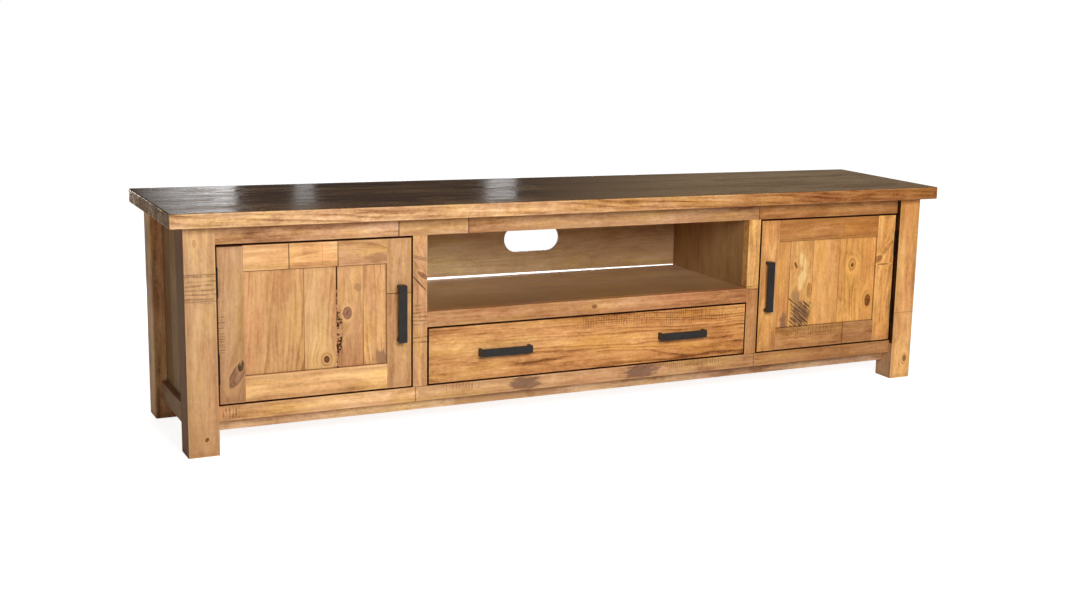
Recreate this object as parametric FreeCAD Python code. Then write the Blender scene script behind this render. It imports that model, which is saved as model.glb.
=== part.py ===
import FreeCAD, Part
import os
from FreeCAD import Vector

# Rustic pine tv unit, in millimetres. X runs along the front, -Y faces the room, +Z is up.
# The origin is on the floor under the middle of the top.

# Overall size and top
overall_width = 2000.0
overall_depth = 440.0
overall_height = 530.0
top_thickness = 32.0
top_plank_count = 3
side_overhang = 31.0
front_overhang = 32.0
top_edge_round = 3.0

# Legs and general joinery
leg_section = 66.0
leg_edge_round = 2.0
board_edge_round = 1.2
tenon_length = 18.0
tenon_thickness = 9.0
tenon_shoulder = 6.0
fit_clearance = 0.15
seam_width = 1.2
seam_depth = 0.8

# Face frame
frame_setback = 14.0
frame_thickness = 25.0
top_rail_height = 42.0
bottom_rail_base = 71.0
bottom_rail_height = 35.0
bay_width = 862.0
stile_width = 35.0
frame_tenon_length = 12.0
drawer_opening_height = 137.0
bay_rail_height = 36.0

# Base frame, floor, side panels, dividers and shelf
base_rail_bottom = 45.0
base_rail_thickness = 25.0
base_side_setback = 14.0
floor_thickness = 18.0
side_panel_setback = 27.0
side_panel_thickness = 16.0
side_panel_housing = 8.0
side_board_count = 4
divider_thickness = 18.0
shelf_thickness = 18.0
shelf_housing = 6.0
shelf_back_gap = 8.0

# Back
rear_rail_thickness = 22.0
rear_rail_height = 42.0
back_thickness = 6.0
back_inset = 6.0
back_lap = 25.0
back_seam = 1.0
bay_back_gap_left = 4.0
bay_back_gap_right = 1.0
cable_slot_width = 156.0
cable_slot_height = 68.0
cable_slot_rise = 92.0

# Doors and drawer front
front_thickness = 22.0
front_gap = 3.0
door_stile_width = 57.0
door_rail_width = 57.0
door_tenon_length = 30.0
panel_thickness = 12.0
panel_recess = 3.5
panel_groove = 9.0
panel_play = 1.0

# Butt hinges
hinge_length = 65.0
hinge_inset = 78.0
hinge_leaf_thickness = 1.4
hinge_leaf_depth = 24.0
hinge_leaf_play = 0.2
hinge_barrel_radius = 3.0
hinge_barrel_to_leg = 0.3
hinge_barrel_to_door = 0.5
hinge_knuckle_gap = 0.3
hinge_notch_play = 0.6
hinge_pin_radius = 1.5
hinge_pin_fixed_play = 0.02
hinge_pin_running_play = 0.06
hinge_pin_head_radius = 2.5
hinge_pin_head_height = 1.5
hinge_screw_spread = 20.0

# Bar handles
handle_centres = 124.0
handle_bar_thickness = 7.0
handle_bar_width = 18.0
handle_standoff = 20.0
handle_edge_round = 0.8
handle_screw_radius = 2.0
handle_screw_bite = 10.0
handle_screw_head_radius = 4.0
handle_screw_head_height = 2.4
door_handle_inset = 25.0
drawer_handle_inset = 188.0

# Drawer box and slides
drawer_rear_gap = 25.0
drawer_side_thickness = 12.0
drawer_back_thickness = 12.0
drawer_bottom_thickness = 6.0
drawer_bottom_rise = 8.0
drawer_side_lift = 9.0
drawer_side_headroom = 18.0
drawer_groove = 5.0
slide_space = 13.0
slide_setback = 4.0
slide_rear_setback = 6.0
slide_height = 40.0
slide_metal = 1.4
slide_flange = 8.0
slide_play = 0.4
slide_end_inset = 45.0

# Magnetic catches
catch_length = 40.0
catch_depth = 16.0
catch_height = 15.0
catch_drop = 45.0
catch_gap = 0.5
strike_thickness = 1.2
strike_width = 18.0
strike_margin = 2.0

# Countersunk wood screws
screw_radius = 1.5
screw_head_radius = 2.6
screw_head_height = 1.2
screw_hole_play = 0.05
leaf_screw_length = 16.0
slide_screw_length = 9.0
strike_screw_length = 12.0
back_screw_length = 16.0
back_screw_inset = 22.0

# Places worked out from the sizes above
leg_height = overall_height - top_thickness
leg_outer = overall_width / 2 - side_overhang
leg_inner = leg_outer - leg_section
rear_edge = overall_depth / 2
leg_front = front_overhang - rear_edge
face_front = leg_front + frame_setback
face_back = face_front + frame_thickness
front_leg_back = leg_front + leg_section
rear_leg_front = rear_edge - leg_section
opening_bottom = bottom_rail_base + bottom_rail_height
opening_top = leg_height - top_rail_height
floor_bottom = opening_bottom - floor_thickness
bay_half = bay_width / 2
stile_outer = bay_half + stile_width
bay_rail_bottom = opening_bottom + drawer_opening_height
bay_floor = bay_rail_bottom + bay_rail_height
panel_outer = leg_outer - side_panel_setback
panel_inner = panel_outer - side_panel_thickness
divider_outer = bay_half + divider_thickness
divider_middle = bay_half + divider_thickness / 2
back_face = rear_edge - back_inset
back_front = back_face - back_thickness
rear_rail_front = back_front - rear_rail_thickness
front_back = face_front + front_thickness

SIDES = (("left", -1), ("right", 1))
nodes = {}


# Shared shapes
def box(x, y, z, grow=0.0):
    """Block between pairs of limits, in either order, grown on every side."""
    low = Vector(min(x) - grow, min(y) - grow, min(z) - grow)
    high = Vector(max(x) + grow, max(y) + grow, max(z) + grow)
    size = high - low
    return Part.makeBox(size.x, size.y, size.z, low)


def eased(block, radius, along):
    """Round the edges of a board that run along one axis."""
    axis = {"x": Vector(1, 0, 0), "y": Vector(0, 1, 0), "z": Vector(0, 0, 1)}[along]
    edges = [e for e in block.Edges if abs(e.tangentAt(e.FirstParameter).dot(axis)) > 0.999]
    return block.makeFillet(radius, edges)


def board(x, y, z, along):
    """Sawn board with its long edges eased."""
    return eased(box(x, y, z), board_edge_round, along)


def sided(side, near, far):
    """Pair of X limits on the left (-1) or right (1) half."""
    return (side * near, side * far)


def seam(start, run, across, inward):
    """Cutter for the fine V line where two boards meet, from a start point along a run."""
    half = across * (seam_width / 2)
    outline = [start - half, start + half, start + inward * seam_depth, start - half]
    return Part.Face(Part.makePolygon(outline)).extrude(run)


def front_seam(x, face, z):
    """Upright V line on a face that looks to the front."""
    return seam(Vector(x, face, z[0]), Vector(0, 0, z[1] - z[0]), Vector(1, 0, 0), Vector(0, 1, 0))


def wood_screw(at, direction, length, play=0.0):
    """Countersunk screw with its head flush at a point, or its hole when play is given."""
    head = Part.makeCone(screw_head_radius + play, screw_radius + play, screw_head_height + play,
                         at, direction)
    shank = Part.makeCylinder(screw_radius + play, length + play, at, direction)
    return head.fuse(shank).removeSplitter()


def screw_hole(at, direction, length):
    return wood_screw(at, direction, length, screw_hole_play)


# Screws are gathered per body, and their holes are cut in what they pass through
screws = {"cabinet": [], "left_door": [], "right_door": [], "drawer": []}


def drive(body, at, direction, length, *names):
    """Put a wood screw into a body and cut its hole in the named pieces."""
    screws[body].append(wood_screw(at, direction, length))
    hole = screw_hole(at, direction, length)
    for name in names:
        nodes[name] = nodes[name].cut(hole)


# Top: planks glued edge to edge, a fine V left along each joint
def build_top():
    half = overall_width / 2
    plank = overall_depth / top_plank_count
    slab = box((-half, half), (-rear_edge, rear_edge), (leg_height, overall_height))
    slab = slab.makeFillet(top_edge_round, slab.Edges)
    for number in range(1, top_plank_count):
        start = Vector(-half, number * plank - rear_edge, overall_height)
        slab = slab.cut(seam(start, Vector(overall_width, 0, 0), Vector(0, 1, 0), Vector(0, 0, -1)))
    for number in range(top_plank_count):
        y = number * plank - rear_edge
        strip = box((-half, half), (y, y + plank), (leg_height, overall_height))
        nodes["top_plank_%d" % (number + 1)] = slab.common(strip)


# Legs: square posts, mortised later by the rails that enter them
def build_legs():
    rows = (("front", leg_front), ("rear", rear_leg_front))
    for row, y in rows:
        for name, side in SIDES:
            post = box(sided(side, leg_inner, leg_outer), (y, y + leg_section), (0, leg_height))
            nodes["leg_%s_%s" % (row, name)] = eased(post, leg_edge_round, "z")


# A rail along X between two posts, with a tenon at each end and the mortises cut for it
def rail_along_x(name, half_length, y, z, tenon, posts):
    middle = (y[0] + y[1]) / 2
    tongue_y = (middle - tenon_thickness / 2, middle + tenon_thickness / 2)
    tongue_z = (z[0] + tenon_shoulder, z[1] - tenon_shoulder)
    reach = half_length + tenon
    rail = board((-half_length, half_length), y, z, "x")
    rail = rail.fuse(box((-reach, reach), tongue_y, tongue_z))
    nodes[name] = rail.removeSplitter()
    mortise = box((-reach, reach), tongue_y, tongue_z, fit_clearance)
    for post in posts:
        nodes[post] = nodes[post].cut(mortise)


# A base rail along Y between the front and rear leg of one side
def rail_along_y(name, x, z, posts):
    middle = (x[0] + x[1]) / 2
    tongue_x = (middle - tenon_thickness / 2, middle + tenon_thickness / 2)
    tongue_z = (z[0] + tenon_shoulder, z[1] - tenon_shoulder)
    tongue_y = (front_leg_back - tenon_length, rear_leg_front + tenon_length)
    rail = board(x, (front_leg_back, rear_leg_front), z, "y")
    nodes[name] = rail.fuse(box(tongue_x, tongue_y, tongue_z)).removeSplitter()
    mortise = box(tongue_x, tongue_y, tongue_z, fit_clearance)
    for post in posts:
        nodes[post] = nodes[post].cut(mortise)


FRONT_LEGS = ("leg_front_left", "leg_front_right")
REAR_LEGS = ("leg_rear_left", "leg_rear_right")


# Face frame: rails run from leg to leg, stiles stand between them, the bay rail ties the stiles
def build_face_frame():
    depth = (face_front, face_back)
    rail_along_x("face_top_rail", leg_inner, depth, (opening_top, leg_height), tenon_length, FRONT_LEGS)
    rail_along_x("face_bottom_rail", leg_inner, depth, (bottom_rail_base, opening_bottom),
                 tenon_length, FRONT_LEGS)
    middle = (face_front + face_back) / 2
    tongue_y = (middle - tenon_thickness / 2, middle + tenon_thickness / 2)
    tongue_z = (opening_bottom - frame_tenon_length, opening_top + frame_tenon_length)
    for name, side in SIDES:
        x = sided(side, bay_half, stile_outer)
        tongue_x = sided(side, bay_half + tenon_shoulder, stile_outer - tenon_shoulder)
        stile = board(x, depth, (opening_bottom, opening_top), "z")
        nodes["face_stile_" + name] = stile.fuse(box(tongue_x, tongue_y, tongue_z)).removeSplitter()
        mortise = box(tongue_x, tongue_y, tongue_z, fit_clearance)
        for rail in ("face_top_rail", "face_bottom_rail"):
            nodes[rail] = nodes[rail].cut(mortise)
    rail_along_x("bay_rail", bay_half, depth, (bay_rail_bottom, bay_floor), frame_tenon_length,
                 ("face_stile_left", "face_stile_right"))
    # The rails are made of shorter lengths joined end to end, at these shares of their run
    seam_shares = {"face_top_rail": (0.224, 0.316, 0.755), "face_bottom_rail": (0.246, 0.756)}
    heights = {"face_top_rail": (opening_top, leg_height),
               "face_bottom_rail": (bottom_rail_base, opening_bottom)}
    for rail, shares in seam_shares.items():
        for share in shares:
            x = (2 * share - 1) * leg_inner
            nodes[rail] = nodes[rail].cut(front_seam(x, face_front, heights[rail]))


# Base frame, floor board, side panels, rear top rail
def build_base():
    z = (base_rail_bottom, floor_bottom)
    rail_along_x("base_rail_front", leg_inner, (face_back, face_back + base_rail_thickness), z,
                 tenon_length, FRONT_LEGS)
    rail_along_x("base_rail_rear", leg_inner, (back_front - base_rail_thickness, back_front), z,
                 tenon_length, REAR_LEGS)
    rail_along_x("rear_top_rail", leg_inner, (rear_rail_front, back_front),
                 (leg_height - rear_rail_height, leg_height), tenon_length, REAR_LEGS)
    rail_outer = leg_outer - base_side_setback
    for name, side in SIDES:
        legs = ("leg_front_" + name, "leg_rear_" + name)
        rail_along_y("base_rail_" + name, sided(side, panel_inner, rail_outer), z, legs)
        x = sided(side, panel_inner, panel_outer)
        y = (front_leg_back - side_panel_housing, rear_leg_front + side_panel_housing)
        upright = (floor_bottom, leg_height)
        panel = box(x, y, upright)
        for number in range(1, side_board_count):
            share = number / side_board_count
            start = Vector(side * panel_outer, front_leg_back + share * (rear_leg_front - front_leg_back),
                           floor_bottom)
            panel = panel.cut(seam(start, Vector(0, 0, leg_height - floor_bottom), Vector(0, 1, 0),
                                   Vector(-side, 0, 0)))
        nodes["side_panel_" + name] = panel
        for leg in legs:
            nodes[leg] = nodes[leg].cut(box(x, y, upright, fit_clearance))
    floor = box((-panel_inner, panel_inner), (face_back, back_front), (floor_bottom, opening_bottom))
    for name, side in SIDES:
        x = sided(side, leg_inner, leg_outer)
        for y in ((leg_front, front_leg_back), (rear_leg_front, rear_edge)):
            floor = floor.cut(box(x, y, (0, leg_height), fit_clearance))
    nodes["floor_board"] = floor


# Dividers stand on the floor board behind the stiles and carry the bay shelf in housings
def build_inside():
    shelf_x = bay_half + shelf_housing
    shelf_y = (face_back, back_front - shelf_back_gap)
    shelf_z = (bay_floor - shelf_thickness, bay_floor)
    nodes["bay_shelf"] = box((-shelf_x, shelf_x), shelf_y, shelf_z)
    housing = box((-shelf_x, shelf_x), shelf_y, shelf_z, fit_clearance)
    rail_notch = box((-leg_inner, leg_inner), (rear_rail_front, back_front),
                     (leg_height - rear_rail_height, leg_height), fit_clearance)
    for name, side in SIDES:
        x = sided(side, bay_half, divider_outer)
        panel = box(x, (face_back, back_front), (opening_bottom, leg_height))
        nodes["divider_" + name] = panel.cut(rail_notch).cut(housing)


# Back: thin panels between the rear legs, the bay's own with a rounded cable slot
def build_back():
    y = (back_front, back_face)
    foot = floor_bottom - back_lap
    seam = divider_middle - back_seam / 2
    for name, side in SIDES:
        x = sided(side, divider_middle + back_seam / 2, leg_inner)
        nodes["back_panel_" + name] = box(x, y, (foot, leg_height))
    drawer_head = bay_floor - shelf_thickness
    nodes["back_panel_drawer"] = box((-seam, seam), y, (foot, drawer_head))
    # The bay's panel hangs clear of the shelf and sits a little out of level
    corners = [(-seam, bay_floor + bay_back_gap_left), (seam, bay_floor + bay_back_gap_right),
               (seam, leg_height), (-seam, leg_height)]
    outline = Part.makePolygon([Vector(x, back_front, z) for x, z in corners + corners[:1]])
    panel = Part.Face(outline).extrude(Vector(0, back_thickness, 0))
    slot_middle = bay_floor + cable_slot_rise
    slot = box((-cable_slot_width / 2, cable_slot_width / 2), y,
               (slot_middle - cable_slot_height / 2, slot_middle + cable_slot_height / 2))
    nodes["back_panel_bay"] = panel.cut(eased(slot, cable_slot_height / 2.001, "y"))
    inward = Vector(0, -1, 0)
    top_z = leg_height - rear_rail_height / 2
    foot_z = floor_bottom - back_lap / 2
    for name, side in SIDES:
        for x in (divider_outer + back_screw_inset, leg_inner - back_screw_inset):
            for z, rail in ((top_z, "rear_top_rail"), (foot_z, "base_rail_rear")):
                drive("cabinet", Vector(side * x, back_face, z), inward, back_screw_length,
                      "back_panel_" + name, rail)
        x = side * (bay_half - back_screw_inset)
        drive("cabinet", Vector(x, back_face, top_z), inward, back_screw_length,
              "back_panel_bay", "rear_top_rail")
        drive("cabinet", Vector(x, back_face, foot_z), inward, back_screw_length,
              "back_panel_drawer", "base_rail_rear")


# Bar handle: a flat bar on two square feet, screwed from behind the front that carries it
def build_handle(name, body, x, z, along, front_name):
    half = (handle_centres + handle_bar_thickness) / 2
    inner = half - handle_bar_thickness
    outer_y = face_front - handle_standoff
    inner_y = outer_y + handle_bar_thickness
    profile = [(-half, face_front), (-half, outer_y), (half, outer_y), (half, face_front),
               (inner, face_front), (inner, inner_y), (-inner, inner_y), (-inner, face_front),
               (-half, face_front)]
    low = handle_bar_width / 2
    if along == "z":
        points = [Vector(x - low, y, z + length) for length, y in profile]
        sweep = Vector(handle_bar_width, 0, 0)
    else:
        points = [Vector(x + length, y, z - low) for length, y in profile]
        sweep = Vector(0, 0, handle_bar_width)
    handle = Part.Face(Part.makePolygon(points)).extrude(sweep)
    clear_edges = [e for e in handle.Edges if min(v.Y for v in e.Vertexes) < face_front - 0.01]
    handle = handle.makeFillet(handle_edge_round, clear_edges)
    forward = Vector(0, -1, 0)
    length = front_thickness + handle_screw_bite
    for end in (-handle_centres / 2, handle_centres / 2):
        at = Vector(x, front_back, z + end) if along == "z" else Vector(x + end, front_back, z)
        head = Part.makeCylinder(handle_screw_head_radius, handle_screw_head_height, at, -forward)
        shank = Part.makeCylinder(handle_screw_radius, length, at, forward)
        screws[body].append(head.fuse(shank).removeSplitter())
        hole = Part.makeCylinder(handle_screw_radius + fit_clearance, length + fit_clearance, at, forward)
        handle = handle.cut(hole)
        nodes[front_name] = nodes[front_name].cut(hole)
    nodes[name] = handle


# Butt hinges: the barrel stands in the corner between the leg and the face of the door
hinge_axis_x = leg_inner - hinge_barrel_to_leg - hinge_barrel_radius
hinge_axis_y = face_front - hinge_barrel_to_door - hinge_barrel_radius
door_hinge_edge = leg_inner - 2 * hinge_leaf_thickness - hinge_leaf_play
door_lock_edge = stile_outer + front_gap
door_bottom = opening_bottom + front_gap
door_top = opening_top - front_gap
hinge_heights = (door_bottom + hinge_inset, door_top - hinge_inset)


def hinge_leaf(side, x, knuckle_spans, height, bore):
    """One leaf: a plate on a barrel of knuckles, notched where the other leaf's knuckles turn."""
    clear = hinge_barrel_radius + hinge_notch_play
    back = hinge_axis_y + hinge_leaf_depth
    half = hinge_length / 2
    leaf = box(sided(side, *x), (hinge_axis_y + clear, back), (height - half, height + half))
    for low, high in knuckle_spans:
        foot = Vector(side * hinge_axis_x, hinge_axis_y, height + low)
        leaf = leaf.fuse(box(sided(side, *x), (hinge_axis_y, back), (height + low, height + high)))
        leaf = leaf.fuse(Part.makeCylinder(hinge_barrel_radius, high - low, foot))
    axis = Vector(side * hinge_axis_x, hinge_axis_y, height - half)
    leaf = leaf.cut(Part.makeCylinder(hinge_pin_radius + bore, hinge_length, axis))
    return leaf.removeSplitter()


def build_hinges():
    half = hinge_length / 2
    third = hinge_length / 6
    frame_spans = ((-half, -third), (third, half))
    door_spans = ((hinge_knuckle_gap - third, third - hinge_knuckle_gap),)
    frame_leaf_x = (leg_inner - hinge_leaf_thickness, leg_inner)
    door_leaf_x = (door_hinge_edge, door_hinge_edge + hinge_leaf_thickness)
    screw_y = (face_front + front_back) / 2
    frame_leaves = []
    pins = []
    for name, side in SIDES:
        body = name + "_door"
        stile = body + "_hinge_stile"
        leaves = []
        for height in hinge_heights:
            frame_leaf = hinge_leaf(side, frame_leaf_x, frame_spans, height, hinge_pin_fixed_play)
            door_leaf = hinge_leaf(side, door_leaf_x, door_spans, height, hinge_pin_running_play)
            foot = Vector(side * hinge_axis_x, hinge_axis_y, height - half)
            pin = Part.makeCylinder(hinge_pin_radius, hinge_length, foot)
            head = Part.makeCylinder(hinge_pin_head_radius, hinge_pin_head_height,
                                     foot + Vector(0, 0, hinge_length))
            pins.append(pin.fuse(head).removeSplitter())
            for shift in (-hinge_screw_spread, hinge_screw_spread):
                at = Vector(side * frame_leaf_x[0], screw_y, height + shift)
                outward = Vector(side, 0, 0)
                frame_leaf = frame_leaf.cut(screw_hole(at, outward, leaf_screw_length))
                drive("cabinet", at, outward, leaf_screw_length, "leg_front_" + name)
                at = Vector(side * door_leaf_x[1], screw_y, height + shift)
                door_leaf = door_leaf.cut(screw_hole(at, -outward, leaf_screw_length))
                drive(body, at, -outward, leaf_screw_length, stile)
            frame_leaves.append(frame_leaf)
            leaves.append(door_leaf)
        nodes[body + "_hinge_leaves"] = Part.makeCompound(leaves)
    nodes["hinge_frame_leaves"] = Part.makeCompound(frame_leaves)
    nodes["hinge_pins"] = Part.makeCompound(pins)


# Doors: stiles run full height, rails are tenoned between them, the panel floats in a groove
def build_door(name, side):
    body = name + "_door"
    depth = (face_front, front_back)
    height = (door_bottom, door_top)
    lock_inner = door_lock_edge + door_stile_width
    hinge_inner = door_hinge_edge - door_stile_width
    middle = face_front + front_thickness / 2
    tongue_y = (middle - tenon_thickness / 2, middle + tenon_thickness / 2)
    stiles = (body + "_lock_stile", body + "_hinge_stile")
    nodes[stiles[0]] = board(sided(side, door_lock_edge, lock_inner), depth, height, "z")
    nodes[stiles[1]] = board(sided(side, hinge_inner, door_hinge_edge), depth, height, "z")
    rails = {body + "_bottom_rail": (door_bottom, door_bottom + door_rail_width),
             body + "_top_rail": (door_top - door_rail_width, door_top)}
    panel_face = face_front + panel_recess
    panel_y = (panel_face, panel_face + panel_thickness)
    held = panel_groove - panel_play
    panel_x = sided(side, lock_inner - held, hinge_inner + held)
    panel_z = (door_bottom + door_rail_width - held, door_top - door_rail_width + held)
    groove = box(panel_x, panel_y, panel_z)
    groove = groove.fuse(box(sided(side, lock_inner - panel_groove, hinge_inner + panel_groove),
                             (panel_y[0] - fit_clearance, panel_y[1] + fit_clearance),
                             (panel_z[0] - panel_play, panel_z[1] + panel_play)))
    tongue_x = sided(side, lock_inner - door_tenon_length, hinge_inner + door_tenon_length)
    for rail, z in rails.items():
        inward = tenon_shoulder + panel_groove
        tongue_z = (z[0] + inward, z[1] - inward)
        piece = board(sided(side, lock_inner, hinge_inner), depth, z, "x")
        piece = piece.fuse(box(tongue_x, tongue_y, tongue_z)).removeSplitter()
        nodes[rail] = piece.cut(groove)
        mortise = box(tongue_x, tongue_y, tongue_z, fit_clearance)
        for stile in stiles:
            nodes[stile] = nodes[stile].cut(mortise)
    for stile in stiles:
        nodes[stile] = nodes[stile].cut(groove)
    panel = box(panel_x, panel_y, panel_z)
    # Joint lines between the boards of the panel and along the rails, as shares of the
    # panel's width counted from the left
    left_edge = min(side * lock_inner, side * hinge_inner)
    width = hinge_inner - lock_inner
    panel_shares = {"left": (0.41, 0.64, 0.83), "right": (0.12, 0.35, 0.62, 0.85)}[name]
    rail_shares = {"left": {"top": (0.31, 0.54), "bottom": ()},
                   "right": {"top": (0.64,), "bottom": (0.68,)}}[name]
    for share in panel_shares:
        panel = panel.cut(front_seam(left_edge + share * width, panel_face, panel_z))
    for rail, z in rails.items():
        for share in rail_shares["top" if rail.endswith("top_rail") else "bottom"]:
            nodes[rail] = nodes[rail].cut(front_seam(left_edge + share * width, face_front, z))
    nodes[body + "_panel"] = panel
    if name == "left":
        # The left lock stile is made of two lengths, joined above the handle's middle
        start = Vector(-lock_inner, face_front, door_bottom + 0.635 * (door_top - door_bottom))
        nodes[stiles[0]] = nodes[stiles[0]].cut(
            seam(start, Vector(door_stile_width, 0, 0), Vector(0, 0, 1), Vector(0, 1, 0)))
    handle_x = side * (door_lock_edge + door_handle_inset)
    build_handle(body + "_handle", body, handle_x, (door_bottom + door_top) / 2, "z", stiles[0])


# Magnetic catch on each divider, with its steel strike plate on the back of the door
def build_catches():
    catches = []
    z_top = door_top - catch_drop
    z = (z_top - catch_height, z_top)
    plate_face = front_back + strike_thickness
    for name, side in SIDES:
        body = name + "_door"
        far = divider_outer + catch_length
        near = door_lock_edge + strike_margin
        block = box(sided(side, divider_outer, far), (face_back, face_back + catch_depth), z)
        nose = box(sided(side, near, far), (plate_face + catch_gap, face_back + catch_depth), z)
        catches.append(block.fuse(nose).removeSplitter())
        plate = box(sided(side, near, near + strike_width), (front_back, plate_face),
                    (z[0] - strike_margin, z[1] + strike_margin))
        nodes[body + "_strike_plate"] = plate
        at = Vector(side * (near + strike_width / 2), plate_face, (z[0] + z[1]) / 2)
        drive(body, at, Vector(0, -1, 0), strike_screw_length,
              body + "_strike_plate", body + "_lock_stile")
    nodes["door_catches"] = Part.makeCompound(catches)


# Drawer: a front that carries a box, hung on a metal slide at each side
def build_drawer():
    front_half = bay_half - front_gap
    front_z = (opening_bottom + front_gap, bay_rail_bottom - front_gap)
    rear = back_front - drawer_rear_gap
    outer = bay_half - slide_space
    inner = outer - drawer_side_thickness
    side_z = (front_z[0] + drawer_side_lift, front_z[1] - drawer_side_headroom)
    bottom_z = (side_z[0] + drawer_bottom_rise, side_z[0] + drawer_bottom_rise + drawer_bottom_thickness)
    front = board((-front_half, front_half), (face_front, front_back), front_z, "x")
    bottom_x = (-inner - drawer_groove, inner + drawer_groove)
    bottom_y = (front_back - drawer_groove, rear)
    bottom = box(bottom_x, bottom_y, bottom_z)
    bottom_groove = box(bottom_x, bottom_y, bottom_z, fit_clearance)
    for name, side in SIDES:
        x = sided(side, inner, outer)
        y = (front_back - drawer_groove, rear)
        nodes["drawer_side_" + name] = box(x, y, side_z).cut(bottom_groove)
        front = front.cut(box(x, y, side_z, fit_clearance))
    nodes["drawer_front"] = front.cut(bottom_groove)
    nodes["drawer_bottom"] = bottom
    nodes["drawer_back"] = box((-inner, inner), (rear - drawer_back_thickness, rear),
                               (bottom_z[1], side_z[1]))
    middle_z = (front_z[0] + front_z[1]) / 2
    for name, side in SIDES:
        build_handle("drawer_handle_" + name, "drawer", side * (front_half - drawer_handle_inset), middle_z,
                     "x", "drawer_front")
    build_slides(outer, (front_back + slide_setback, rear - slide_rear_setback), (side_z[0] + side_z[1]) / 2)


# Slides: a channel on each divider, and a narrower one on the drawer running inside it
def build_slides(drawer_outer, y, middle_z):
    half = slide_height / 2
    inner_half = half - slide_metal - slide_play
    runners = []
    for name, side in SIDES:
        web = box(sided(side, bay_half - slide_metal, bay_half), y, (middle_z - half, middle_z + half))
        for z in (middle_z - half, middle_z + half - slide_metal):
            web = web.fuse(box(sided(side, bay_half - slide_flange, bay_half), y, (z, z + slide_metal)))
        nodes["drawer_slide_" + name] = web.removeSplitter()
        runner = box(sided(side, drawer_outer, drawer_outer + slide_metal), y,
                     (middle_z - inner_half, middle_z + inner_half))
        for z in (middle_z - inner_half, middle_z + inner_half - slide_metal):
            runner = runner.fuse(box(sided(side, drawer_outer, drawer_outer + slide_flange), y,
                                     (z, z + slide_metal)))
        outward = Vector(side, 0, 0)
        for end in (y[0] + slide_end_inset, y[1] - slide_end_inset):
            at = Vector(side * (bay_half - slide_metal), end, middle_z)
            drive("cabinet", at, outward, slide_screw_length, "drawer_slide_" + name, "divider_" + name)
            at = Vector(side * (drawer_outer + slide_metal), end, middle_z)
            drive("drawer", at, -outward, slide_screw_length, "drawer_side_" + name)
            runner = runner.cut(screw_hole(at, -outward, slide_screw_length))
        runners.append(runner.removeSplitter())
    nodes["drawer_runners"] = Part.makeCompound(runners)


build_top()
build_legs()
build_face_frame()
build_base()
build_inside()
build_back()
for door_name, door_side in SIDES:
    build_door(door_name, door_side)
build_hinges()
build_catches()
build_drawer()
for body_name, group in screws.items():
    nodes[body_name + "_screws"] = Part.makeCompound(group)

os.makedirs("parts", exist_ok=True)
for node_name, shape in nodes.items():
    shape.exportStep("parts/" + node_name + ".step")
    print(node_name, len(shape.Solids), round(shape.Volume), shape.isValid())
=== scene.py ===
import bpy
from mathutils import Matrix, Vector


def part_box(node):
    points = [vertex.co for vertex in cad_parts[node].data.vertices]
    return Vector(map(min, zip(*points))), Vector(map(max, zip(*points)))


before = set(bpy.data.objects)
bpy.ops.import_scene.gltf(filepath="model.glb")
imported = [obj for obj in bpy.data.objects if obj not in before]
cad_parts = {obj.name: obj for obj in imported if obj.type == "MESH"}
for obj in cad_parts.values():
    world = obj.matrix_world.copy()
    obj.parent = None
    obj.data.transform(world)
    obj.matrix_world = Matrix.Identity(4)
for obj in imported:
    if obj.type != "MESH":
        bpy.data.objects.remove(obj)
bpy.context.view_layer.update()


# Legs
# Four square posts of rustic pine, planed, stained honey brown and lacquered satin. They carry
# every rail in mortises. The finish built here, of growth rings, knots, saw marks, edges worn pale
# by rubbing and given painted highlights, dark joints, painted shade in gaps and on shaded sides,
# and painted falloff of light, is the one that all the pine of the unit shares. The tints of boards
# and sides also carry some painted light and shade besides each board's own tone.
def feed(tree, socket, value):
    """Set a socket, or link it when the value is itself a socket."""
    if isinstance(value, bpy.types.NodeSocket):
        tree.links.new(value, socket)
    else:
        socket.default_value = value


def put(tree, kind, inputs=None, **settings):
    """Add a node with its settings and inputs."""
    node = tree.nodes.new(kind)
    for name, value in settings.items():
        setattr(node, name, value)
    for key, value in (inputs or {}).items():
        feed(tree, node.inputs[key], value)
    return node


def calc(tree, operation, *values):
    """Result of a math node on sockets or numbers."""
    node = put(tree, "ShaderNodeMath", operation=operation)
    for socket, value in zip(node.inputs, values):
        feed(tree, socket, value)
    return node.outputs[0]


def vector_calc(tree, operation, *values):
    """Result of a vector math node on sockets or triples."""
    node = put(tree, "ShaderNodeVectorMath", operation=operation)
    for socket, value in zip(node.inputs, values):
        feed(tree, socket, value)
    return node.outputs[0]


def parts_of(tree, vector):
    """The three numbers of a vector."""
    return put(tree, "ShaderNodeSeparateXYZ", {"Vector": vector}).outputs


def joined(tree, x, y, z):
    """A vector from three numbers."""
    return put(tree, "ShaderNodeCombineXYZ", {"X": x, "Y": y, "Z": z}).outputs[0]


def eased(tree, value, low, high, to_low=0.0, to_high=1.0):
    """Smooth step of a value from one range to another."""
    node = put(tree, "ShaderNodeMapRange", interpolation_type="SMOOTHSTEP")
    for socket, number in zip(node.inputs, (value, low, high, to_low, to_high)):
        feed(tree, socket, number)
    return node.outputs[0]


def noise(tree, vector, stretch=(1.0, 1.0, 1.0), detail=2.0, roughness=0.5, twist=0.0):
    """Noise on a vector stretched by three scales."""
    place = vector_calc(tree, "MULTIPLY", vector, stretch)
    inputs = {"Vector": place, "Scale": 1.0, "Detail": detail, "Roughness": roughness,
              "Distortion": twist}
    return put(tree, "ShaderNodeTexNoise", inputs).outputs


def blend(tree, mode, factor, below, above):
    """Two colours mixed in one of the usual paint modes."""
    node = put(tree, "ShaderNodeMix", data_type="RGBA", blend_type=mode)
    for index, value in ((0, factor), (6, below), (7, above)):
        feed(tree, node.inputs[index], value)
    return node.outputs[2]


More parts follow.
